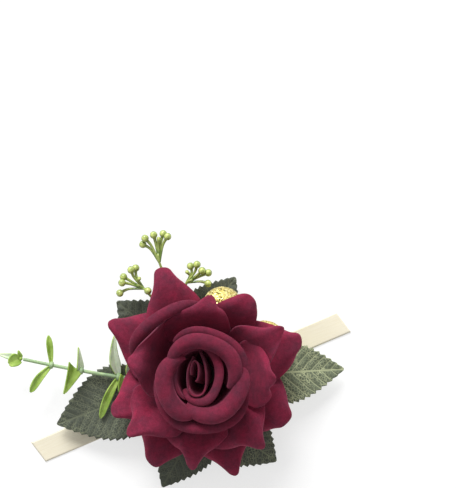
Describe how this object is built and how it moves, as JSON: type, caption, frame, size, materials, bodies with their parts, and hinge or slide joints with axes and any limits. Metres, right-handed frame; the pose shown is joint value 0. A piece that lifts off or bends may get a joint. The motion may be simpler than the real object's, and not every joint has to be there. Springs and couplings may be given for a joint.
{
  "type": "wrist corsage",
  "caption": "Rose wrist corsage: velvet petals, serrated leaves, eucalyptus, berry sprays and glitter balls glued across a satin ribbon over a felt pad; the ribbon ends wrap round the wrist.",
  "frame": {"origin": "middle of the felt pad's underside, the face that lies on the wrist", "axes": "+X along the ribbon band towards its shorter end, +Y across the band towards the berry sprays, +Z out of the wrist through the rose"},
  "size_m": [0.1417, 0.1081, 0.0483],
  "materials": {
    "velvet": "burgundy flocked velvet",
    "satin": "ivory satin ribbon",
    "felt": "ivory pressed felt",
    "printed_leaf": "stiffened printed cloth",
    "green_plastic": "moulded polyethylene",
    "sprig_plastic": "moulded polyethylene, pale backs",
    "berry_plastic": "dipped gloss",
    "glitter": "gold glitter on a foam ball",
    "wire": "green lacquered steel wire",
    "glue": "set hot-melt glue",
    "foam": "dyed foam"
  },
  "bodies": {
    "corsage": {"felt_backing_pad": "felt", "ribbon_middle": "satin", "flower_post": "green_plastic", "bud_core": "foam", "calyx": "green_plastic", "gold_ball_pick_1": "wire", "gold_ball_pick_2": "wire", "gold_ball_1": "glitter", "gold_ball_2": "glitter", "eucalyptus_stem": "sprig_plastic", "eucalyptus_leaf_pair_1": "sprig_plastic", "eucalyptus_leaf_pair_2": "sprig_plastic", "eucalyptus_leaf_pair_3": "sprig_plastic", "eucalyptus_leaf_pair_4": "sprig_plastic", "eucalyptus_tip_leaves": "sprig_plastic", "berry_spray_left": "berry_plastic", "berry_spray_top": "berry_plastic", "berry_spray_right": "berry_plastic", "leaf_rib_1": "green_plastic", "leaf_rib_2": "green_plastic", "leaf_rib_3": "green_plastic", "leaf_rib_4": "green_plastic", "leaf_rib_5": "green_plastic", "leaf_rib_6": "green_plastic", "leaf_1": "printed_leaf", "leaf_2": "printed_leaf", "leaf_3": "printed_leaf", "leaf_4": "printed_leaf", "leaf_5": "printed_leaf", "leaf_6": "printed_leaf", "bud_petal_1": "velvet", "bud_petal_2": "velvet", "bud_petal_3": "velvet", "bud_petal_4": "velvet", "cup_petal_1": "velvet", "cup_petal_2": "velvet", "cup_petal_3": "velvet", "rim_petal_1": "velvet", "rim_petal_2": "velvet", "rim_petal_3": "velvet", "middle_petal_1": "velvet", "middle_petal_2": "velvet", "middle_petal_3": "velvet", "middle_petal_4": "velvet", "middle_petal_5": "velvet", "middle_petal_6": "velvet", "middle_petal_7": "velvet", "outer_petal_1": "velvet", "outer_petal_2": "velvet", "outer_petal_3": "velvet", "outer_petal_4": "velvet", "outer_petal_5": "velvet", "outer_petal_6": "velvet", "outer_petal_7": "velvet", "outer_petal_8": "velvet", "hot_glue_puddle": "glue"},
    "ribbon_left": {"ribbon_tail_left": "satin"},
    "ribbon_right": {"ribbon_tail_right": "satin"}
  },
  "joints": [
    {"name": "ribbon_left_wrap", "type": "hinge", "parent": "corsage", "child": "ribbon_left", "pos_m": [-0.0236, 0, 0.0018], "axis": [0, -1, 0], "range_deg": [0, 100]},
    {"name": "ribbon_right_wrap", "type": "hinge", "parent": "corsage", "child": "ribbon_right", "pos_m": [0.0236, 0, 0.0018], "axis": [0, 1, 0], "range_deg": [0, 100]}
  ]
}
